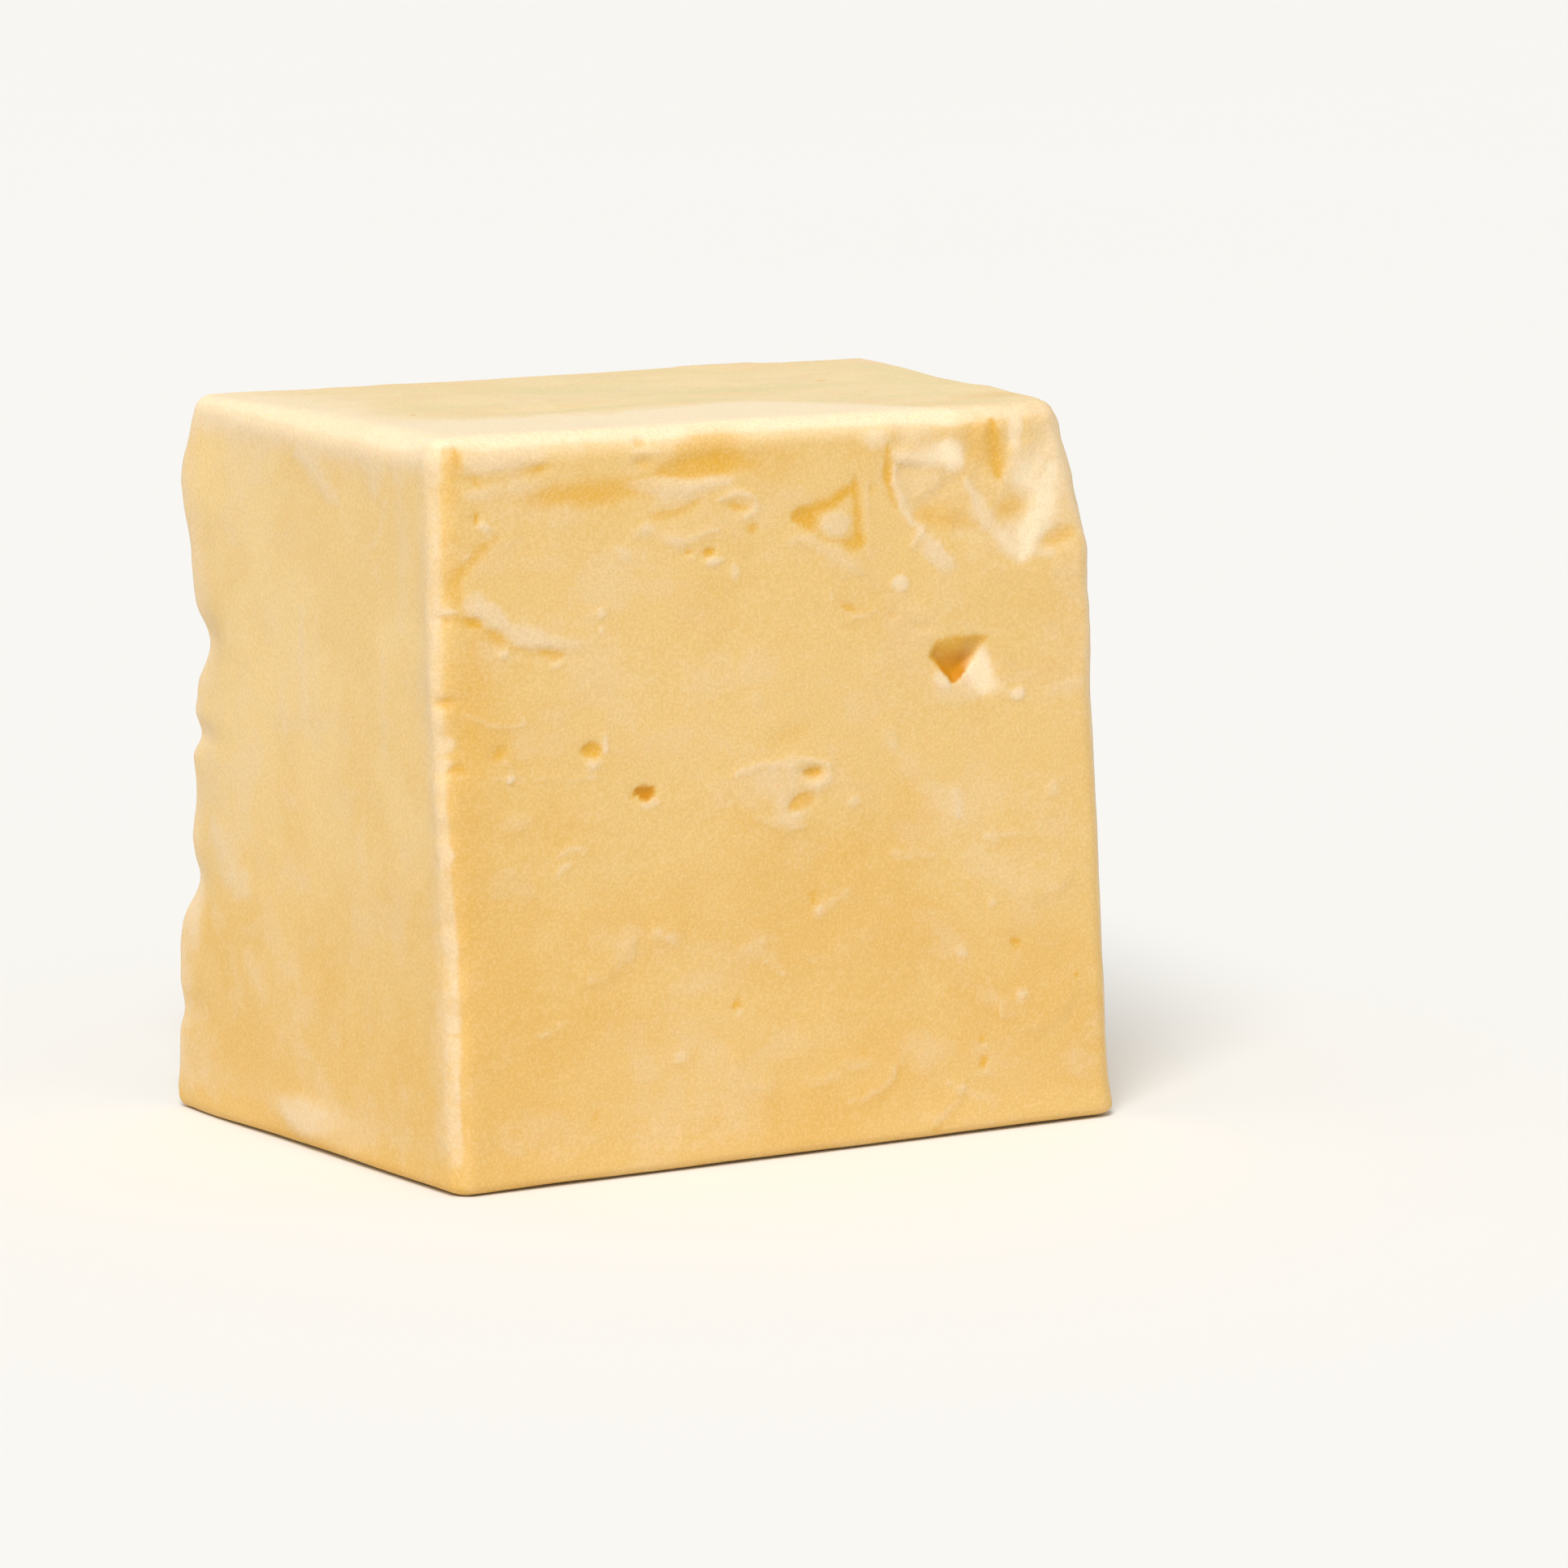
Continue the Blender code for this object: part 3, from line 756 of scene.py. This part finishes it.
def marked(points, quads):
    """Applies each face's marks to the points that look its way, moving them in or out
    along the face's own direction. Returns the points and the tints' shares."""
    normals = mesh_normals(points, quads)
    moved = points.copy()
    shares = {label: np.zeros(len(points)) for label in TINTS}
    for across, upward, way, mark, seed in FACES:
        marks = Marks(points, across, upward, seed)
        mark(marks)
        here = smooth(0.2, 0.7, normals @ np.array(way))
        moved += np.outer(np.minimum(marks.height, 0.4) * here, way)
        for label, share in marks.shares.items():
            shares[label] = np.maximum(shares[label], share * here)
    return moved, shares


def worn_corner(points):
    """Draws the upper right front corner in to the left and back, by a smoothstep over
    the height that fades with distance from the edge."""
    foot, top = (np.array(FRONT_RIGHT[index]) - FRONT_LEFT[0] for index in (0, 1))
    z = points[:, 2]
    edge = foot + np.outer(z / SIZE[2], top - foot)
    near = bell(np.linalg.norm(points[:, :2] - edge, axis=1) / 10.0)
    amount = 3.2 * smooth(82.0, 106.0, z) + 0.5 * layered_noise(points, 6.0, 3, 97)
    inward = (-0.92, 0.38, 0.0)
    return points + np.outer(amount * near * smooth(60.0, 84.0, z), inward)


def chipped_edge(points):
    """Nicks in the front left edge, pushed in along the diagonal, with a little
    raggedness between them, and a slow bow of the edge to the left."""
    z = points[:, 2]
    top = np.subtract(FRONT_LEFT[1], FRONT_LEFT[0])
    near = bell(np.linalg.norm(points[:, :2] - np.outer(z / SIZE[2], top), axis=1) / 3.6)
    nicks = sum(amount * bell((z - middle) / reach) for middle, amount, reach in CHIPS)
    rough = 0.35 * layered_noise(points, 4.0, 3, 101)
    inward = np.array([1.0, 1.0, 0.0]) / math.sqrt(2.0)
    bow = 1.2 * bell((z - 72.0) / 24.0) * near
    return points + np.outer((nicks + rough) * near, inward) - np.outer(bow, (1.0, 0.0, 0.0))


# ------------------------------------------------------------------ mesh

def mesh_normals(points, quads):
    """Each point's normal: the summed cross products of its quads' diagonals."""
    a, b, c, d = (points[quads[:, corner]] for corner in range(4))
    area = np.cross(c - a, d - b)
    total = np.stack([
        sum(np.bincount(quads[:, corner], area[:, axis], len(points))
            for corner in range(4)) for axis in range(3)], axis=1)
    return total / np.linalg.norm(total, axis=1, keepdims=True)


def stands_out(points, quads, rounds):
    """How far each point stands out of its surroundings, along its normal, once the
    surroundings are averaged with their neighbours the given number of times."""
    count = len(points)
    start, end = quads.ravel(), np.roll(quads, -1, axis=1).ravel()
    degree = np.bincount(start, minlength=count) + np.bincount(end, minlength=count)
    calm = points.copy()
    for _ in range(rounds):
        calm = np.stack([(np.bincount(start, column[end], count)
                          + np.bincount(end, column[start], count)) / degree
                         for column in calm.T], axis=1)
    return np.einsum("ij,ij->i", points - calm, mesh_normals(calm, quads))


def wedge_surface(settings):
    """The whole shape: rounded, tapered, chewed and swollen block with its marks, and
    the shares that its finish reads."""
    points, quads = block_grid(*grid_lines())
    points, edge = rounded(points, settings)
    points = swollen(worn_corner(chewed(tapered(points))), quads)
    bare = mesh_normals(points, quads)
    points, shares = marked(points, quads)
    points = chipped_edge(points)
    points[:, 2] = np.clip(points[:, 2], 0.0, SIZE[2])
    standout_painted_light = stands_out(points, quads, 6)
    shares["edge"] = edge * smooth(2.0, 7.0, points[:, 2])
    # Painted highlight: spots that stand out of their surroundings are made paler.
    shares["standout_painted_light"] = smooth(0.02, 0.30, standout_painted_light)
    # Painted shade: spots lying below their surroundings turn darker gold in the finish.
    shares["painted_crease_shade"] = smooth(0.02, 0.35, -standout_painted_light)
    shares["crown"] = smooth(0.35, 0.85, bare[:, 2])
    shares["flank"] = smooth(0.35, 0.85, -bare[:, 0])
    # Painted shadow: darker gold along the foot, where the block meets the floor.
    shares["foot"] = bell(points[:, 2] / 1.6)
    return points, quads, shares


def make_piece(name, points, quads, shares):
    """One smooth-shaded object from arrays, with its shares as point attributes."""
    place = (points + FOOT_CORNER) * MM
    mesh = bpy.data.meshes.new(name)
    mesh.from_pydata(place.tolist(), [], quads.tolist())
    mesh.shade_smooth()
    for label, share in shares.items():
        layer = mesh.attributes.new(label, "FLOAT", "POINT")
        layer.data.foreach_set("value", np.clip(share, 0.0, 1.0).astype(np.float32))
    piece = bpy.data.objects.new(name, mesh)
    bpy.context.scene.collection.objects.link(piece)
    return piece


# ------------------------------------------------------------------ finish

class Socket:
    """A node's output. Its operators add Math nodes, so shader maths reads as Python."""

    def __init__(self, finish, output):
        self.finish = finish
        self.output = output

    def maths(self, operation, first, second):
        return self.finish.add("ShaderNodeMath", {"operation": operation},
                               {"Value": first, "Value_001": second})

    def __add__(self, other):
        return self.maths("ADD", self, other)

    def __radd__(self, other):
        return self.maths("ADD", other, self)

    def __sub__(self, other):
        return self.maths("SUBTRACT", self, other)

    def __rsub__(self, other):
        return self.maths("SUBTRACT", other, self)

    def __mul__(self, other):
        return self.maths("MULTIPLY", self, other)

    def __rmul__(self, other):
        return self.maths("MULTIPLY", other, self)


class Finish:
    """A material and its node tree, filled in through add()."""

    def __init__(self, name):
        self.material = bpy.data.materials.new(name)
        self.material.use_nodes = True
        self.tree = self.material.node_tree
        self.tree.nodes.clear()

    def add(self, kind, settings=None, inputs=None, output=0):
        """Adds a node of the given type: its settings first, then the values or links
        of its sockets, by identifier or name. Returns the output asked for."""
        node = self.tree.nodes.new(kind)
        for name, value in (settings or {}).items():
            setattr(node, name, value)
        for name, value in (inputs or {}).items():
            socket = next((s for s in node.inputs if s.identifier == name), None)
            socket = socket or node.inputs[name]
            if isinstance(value, Socket):
                self.tree.links.new(value.output, socket)
            else:
                socket.default_value = value
        return Socket(self, node.outputs[output]) if node.outputs else None

    def share(self, label):
        """A share that the mesh carries at its points."""
        return self.add("ShaderNodeAttribute", {"attribute_name": label}, output="Fac")

    def place(self, stretch=(1.0, 1.0, 1.0)):
        """Object coordinates in millimetres, drawn together along each axis."""
        there = self.add("ShaderNodeTexCoord", output="Object")
        scale = tuple(amount / MM for amount in stretch)
        return self.add("ShaderNodeMapping", inputs={"Vector": there, "Scale": scale})

    def noise(self, place, size, detail, roughness=0.5):
        """Noise from 0 to 1 with features of the given size in millimetres."""
        return self.add("ShaderNodeTexNoise", inputs={
            "Vector": place, "Scale": 1.0 / size, "Detail": detail, "Roughness": roughness})

    def ramp(self, value, low, high):
        """0 below low, 1 above high, smooth between them."""
        return self.add("ShaderNodeMapRange", {"interpolation_type": "SMOOTHSTEP"}, {
            "Value": value, "From Min": low, "From Max": high})

    def mix(self, share, first, second):
        """A colour blended from the first to the second."""
        return self.add("ShaderNodeMix", {"data_type": "RGBA"}, {
            "Factor_Float": share, "A_Color": first, "B_Color": second}, output=2)


def colour(value):
    """A colour with full opacity."""
    return (*value, 1.0)


def cheese_finish(settings):
    """Golden pressed cheese. The base colour differs on the cut face, the flank and the
    crown, is mottled at three sizes, and whitens where it is dry. Painted light and
    shade: it is paler on spots that stand out, turns darker gold in hollows, cracks,
    creases and along the foot, and brownish gold in the holes' cores. The darker gold
    also lies in some broad patches. The bump is fine curd grain, with a cloth imprint on
    the crown."""
    finish = Finish("cheese")
    place = finish.place()
    crown, flank, foot = (finish.share(label) for label in ("crown", "flank", "foot"))
    pale, cream, deep, core, bloom = (finish.share(label) for label in TINTS)
    edge, standout_painted_light, painted_crease_shade = (finish.share(label) for label in ("edge", "standout_painted_light", "painted_crease_shade"))

    broad = finish.noise(finish.place((0.6, 1.0, 1.0)), 24.0, 3.0)
    patchy = finish.noise(finish.place((0.8, 1.0, 1.1)), 9.0, 5.0, 0.6)
    curd = finish.noise(place, 1.8, 4.0, 0.6)
    grain = finish.noise(place, 0.45, 3.0, 0.8)
    height = finish.add("ShaderNodeSeparateXYZ", inputs={"Vector": place}, output="Z")

    body = finish.mix(flank, colour(settings.cut_colour), colour(settings.flank_colour))
    body = finish.mix(crown, body, colour(settings.crown_colour))
    warm = finish.ramp(broad + (patchy - 0.5) * 0.8, 0.40, 0.66) * (0.65 - flank * 0.3)
    warm = warm + finish.ramp(height, 74.0, -4.0) * (0.55 + flank * 0.45)
    body = finish.mix(warm * (1 - crown * 0.7), body, colour(settings.warm_colour))
    clouds = finish.ramp(patchy - (broad - 0.5) * 0.6, 0.48, 0.70) * 0.38
    body = finish.mix(clouds, body, colour(settings.pale_colour))

    blotches = finish.noise(finish.place((0.35, 1.2, 1.0)), 10.0, 4.0, 0.6)
    behind = (1 - cream) * crown * finish.ramp(blotches, 0.45, 0.65) * 0.4
    mould = finish.ramp(bloom + behind + (curd - 0.5) * 0.5 * bloom, 0.05, 0.95)
    body = finish.mix(mould, body, colour(settings.bloom_colour))
    # Painted shade and shadow: darker gold in hollows, cracks, grooves and creases, and along
    # the foot where the block meets the floor; the same gold also lies in broad patches.
    gold = deep + painted_crease_shade * 0.15 + foot * 0.45 + (curd - 0.5) * 0.5 * deep
    gold_and_painted_shade_mix = finish.ramp(gold, 0.04, 1.05)
    body = finish.mix(gold_and_painted_shade_mix, body, colour(settings.gold_and_painted_shade_colour))
    # Painted shade: brownish gold in the cores of the holes and cracks.
    painted_core_shade_mix = finish.ramp(core + (curd - 0.5) * 0.4 * core, 0.05, 0.9)
    body = finish.mix(painted_core_shade_mix, body, colour(settings.painted_core_shade_colour))
    # Dry pale cheese, and painted highlight on spots that stand out: both whiten the colour.
    dryness_and_painted_light = pale + standout_painted_light * 0.20 + edge * 0.66 + (curd - 0.5) * 1.0 * (pale + edge)
    dry = finish.ramp(dryness_and_painted_light, 0.08, 0.85) * (1 - deep * 0.8) * (1 - painted_core_shade_mix)
    body = finish.mix(dry, body, colour(settings.pale_colour))
    creamy = finish.ramp(cream + (patchy - 0.5 + curd - 0.5) * 0.5 * cream, 0.05, 0.95)
    creamy = creamy * (1 - deep * 0.9) * (1 - painted_core_shade_mix)
    body = finish.mix(creamy, body, colour(settings.cream_colour))
    specks = finish.ramp(grain, 0.44, 0.66) * 0.22 * (1 - painted_core_shade_mix)
    body = finish.mix(specks, body, colour(settings.shade_colour))
    flecks = finish.ramp(grain, 0.55, 0.34) * 0.18 * (1 - painted_core_shade_mix)
    body = finish.mix(flecks, body, colour(settings.cream_colour))

    roughness = (patchy - 0.5) * 0.16 + 0.52 + dry * 0.14 - gold_and_painted_shade_mix * 0.12
    along, across = (finish.add(
        "ShaderNodeTexWave", {"wave_type": "BANDS", "bands_direction": axis}, {
            "Vector": place, "Scale": 0.22, "Distortion": 1.2, "Detail": 1.0}) for axis in "XY")
    relief = grain * 0.08 + curd * 0.10 + patchy * 0.16 + along * across * crown * 0.05
    relief = relief + dry * 0.10
    normal = finish.add("ShaderNodeBump", inputs={
        "Height": relief, "Strength": 0.7, "Distance": MM})
    shader = finish.add("ShaderNodeBsdfPrincipled", inputs={
        "Base Color": body, "Roughness": roughness, "Normal": normal, "IOR": 1.45,
        "Specular IOR Level": 0.35, "Subsurface Weight": settings.translucency,
        "Subsurface Scale": 1.0, "Subsurface Radius": (0.0022, 0.0012, 0.0005)})
    finish.add("ShaderNodeOutputMaterial", inputs={"Surface": shader})
    return finish.material


def floor_finish(settings):
    """Plain pale matt studio floor with the faintest mottling."""
    finish = Finish("studio_floor")
    drift = finish.noise(finish.place(), 400.0, 2.0)
    lighter = colour((0.88, 0.88, 0.88))
    body = finish.mix(drift * 0.2, colour(settings.floor_colour), lighter)
    shader = finish.add("ShaderNodeBsdfPrincipled", inputs={
        "Base Color": body, "Roughness": 0.9})
    finish.add("ShaderNodeOutputMaterial", inputs={"Surface": shader})
    return finish.material


# ------------------------------------------------------------------ settings

def swatch(name, red, green, blue, description):
    """A colour that the user can change."""
    return bpy.props.FloatVectorProperty(
        name=name, description=description, subtype="COLOR", size=3,
        default=(red, green, blue), min=0.0, max=1.0)


def length(name, millimetres, description):
    """A length that the user can change, given here in millimetres."""
    return bpy.props.FloatProperty(
        name=name, description=description, default=millimetres * MM, min=0.0,
        unit="LENGTH", subtype="DISTANCE")


class CHEESE_PG_wedge(bpy.types.PropertyGroup):
    """Sizes and colours of the cheese."""

    upright_radius: length("Upright Edges", 3.4, "Rounding of the four upright edges")
    top_radius: length("Top Edges", 4.2, "Rounding of the edges round the top")
    foot_radius: length("Foot Edges", 1.6, "Rounding of the edges round the foot")
    edge_wear: bpy.props.FloatProperty(
        name="Edge Wear", description="How much the rounding wanders along an edge",
        default=0.35, min=0.0, max=0.8, subtype="FACTOR")
    edge_reach: length("Dry Edges", 4.4, "How far the dry pale band runs in from an edge")
    translucency: bpy.props.FloatProperty(
        name="Translucency", description="How much light spreads inside the cheese",
        default=0.3, min=0.0, max=1.0, subtype="FACTOR")
    cut_colour: swatch("Cut Face", 0.80, 0.545, 0.205, "Colour of the cut front")
    flank_colour: swatch("Flank", 0.845, 0.605, 0.265, "Colour of the left side")
    crown_colour: swatch("Crown", 0.90, 0.70, 0.385, "Colour of the top")
    warm_colour: swatch("Warm Patches", 0.77, 0.48, 0.135, "Deeper patches of the paste")
    shade_colour: swatch("Grain", 0.62, 0.41, 0.13, "The darker specks of the curd grain")
    # Also the colour of the painted highlight on spots that stand out.
    pale_colour: swatch("Dry Cheese", 0.82, 0.62, 0.375, "Dry edges, flakes and crumbs")
    cream_colour: swatch("Cream", 0.96, 0.79, 0.54, "The dried front strip of the top")
    # Painted shade in hollows, cracks, grooves and creases, painted shadow along the foot, and
    # broad gold patches.
    gold_and_painted_shade_colour: swatch("Hollows", 0.76, 0.41, 0.03, "Deep gold in hollows and cracks")
    # Painted shade in the cores of the holes and cracks.
    painted_core_shade_colour: swatch("Cores", 0.62, 0.25, 0.003, "Brown gold in the cores of the holes")
    bloom_colour: swatch("Bloom", 0.79, 0.66, 0.34, "Faint green-grey bloom on the top")


class CHEESE_PG_studio(bpy.types.PropertyGroup):
    """The view and the light."""

    azimuth: bpy.props.FloatProperty(
        name="Azimuth", description="Where the camera stands, round from the front",
        default=math.radians(-30.75), subtype="ANGLE")
    elevation: bpy.props.FloatProperty(
        name="Elevation", description="How far the camera looks down",
        default=math.radians(9.0), subtype="ANGLE")
    distance: length("Distance", 950.0, "From the camera to the point it looks at")
    lens: bpy.props.FloatProperty(
        name="Lens", description="Focal length in millimetres", default=149.07,
        min=10.0, unit="CAMERA")
    floor_colour: swatch("Floor", 0.85, 0.85, 0.84, "Colour of the studio floor")
    sun_strength: bpy.props.FloatProperty(
        name="Sun", description="Strength of the large soft key light", default=2.4, min=0.0)
    sky_strength: bpy.props.FloatProperty(
        name="Sky", description="Strength of the even light from all round",
        default=0.52, min=0.0)


# ------------------------------------------------------------------ operators

class CHEESE_OT_wedge(bpy.types.Operator):
    """Build the cheese wedge and its finish in place of the plain solid"""

    bl_idname = "cheese.wedge"
    bl_label = "Build Wedge"

    def execute(self, context):
        settings = context.scene.cheese_wedge
        piece = make_piece("cheese_block", *wedge_surface(settings))
        piece.data.materials.append(cheese_finish(settings))
        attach(piece, "root")
        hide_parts(NODE)
        return {"FINISHED"}


class CHEESE_OT_studio(bpy.types.Operator):
    """Build the floor, the lights and the camera"""

    bl_idname = "cheese.studio"
    bl_label = "Build Studio"

    # Where the camera looks, in millimetres, and half the floor's width, in metres.
    AIM = np.array([15.7, -9.1, 48.3])
    FLOOR_REACH = 12.0

    def execute(self, context):
        settings = context.scene.cheese_studio
        self.make_floor(context, settings)
        self.make_lights(context, settings)
        self.make_camera(context, settings)
        context.scene.view_settings.view_transform = "Standard"
        return {"FINISHED"}

    def make_floor(self, context, settings):
        reach = self.FLOOR_REACH
        mesh = bpy.data.meshes.new("floor")
        mesh.from_pydata([(-reach, -reach, 0.0), (reach, -reach, 0.0),
                          (reach, reach, 0.0), (-reach, reach, 0.0)], [], [(0, 1, 2, 3)])
        mesh.materials.append(floor_finish(settings))
        floor = bpy.data.objects.new("floor", mesh)
        context.scene.collection.objects.link(floor)

    def make_lights(self, context, settings):
        world = bpy.data.worlds.new("studio")
        context.scene.world = world
        world.use_nodes = True
        sky = world.node_tree.nodes["Background"]
        sky.inputs["Color"].default_value = (1.0, 0.99, 0.97, 1.0)
        sky.inputs["Strength"].default_value = settings.sky_strength
        lamp = bpy.data.lights.new("key", "SUN")
        lamp.energy = settings.sun_strength
        lamp.angle = math.radians(28.0)
        lamp.color = (1.0, 0.985, 0.95)
        key = bpy.data.objects.new("key", lamp)
        towards = Vector((-0.40, -0.47, 0.80)).normalized()
        key.rotation_mode = "QUATERNION"
        key.rotation_quaternion = towards.to_track_quat("Z", "Y")
        context.scene.collection.objects.link(key)

    def make_camera(self, context, settings):
        lens = bpy.data.cameras.new("camera")
        lens.lens = settings.lens
        lens.sensor_width = 36.0
        lens.clip_start, lens.clip_end = 0.01, 100.0
        camera = bpy.data.objects.new("camera", lens)
        back = Vector((math.sin(settings.azimuth) * math.cos(settings.elevation),
                       -math.cos(settings.azimuth) * math.cos(settings.elevation),
                       math.sin(settings.elevation)))
        camera.location = Vector(self.AIM * MM) + back * settings.distance
        camera.rotation_mode = "QUATERNION"
        camera.rotation_quaternion = (-back).to_track_quat("-Z", "Y")
        context.scene.collection.objects.link(camera)
        context.scene.camera = camera


class CHEESE_PT_panel(bpy.types.Panel):
    """Shows what can be changed about the wedge and the studio, with the button that builds
    each
    """

    bl_idname = "CHEESE_PT_panel"
    bl_label = "Cheese Wedge"
    bl_space_type = "VIEW_3D"
    bl_region_type = "UI"
    bl_category = "Cheese"

    def draw(self, context):
        for group, operator in ((context.scene.cheese_wedge, CHEESE_OT_wedge),
                                (context.scene.cheese_studio, CHEESE_OT_studio)):
            box = self.layout.box()
            for label in group.bl_rna.properties.keys():
                if label not in ("rna_type", "name"):
                    box.prop(group, label)
            box.operator(operator.bl_idname)


CLASSES = (CHEESE_PG_wedge, CHEESE_PG_studio, CHEESE_OT_wedge, CHEESE_OT_studio,
           CHEESE_PT_panel)


def register():
    for each in CLASSES:
        bpy.utils.register_class(each)
    bpy.types.Scene.cheese_wedge = bpy.props.PointerProperty(type=CHEESE_PG_wedge)
    bpy.types.Scene.cheese_studio = bpy.props.PointerProperty(type=CHEESE_PG_studio)


def unregister():
    del bpy.types.Scene.cheese_studio
    del bpy.types.Scene.cheese_wedge
    for each in reversed(CLASSES):
        bpy.utils.unregister_class(each)


def main():
    register()
    bpy.ops.cheese.wedge()
    bpy.ops.cheese.studio()


if __name__ == "__main__":
    main()
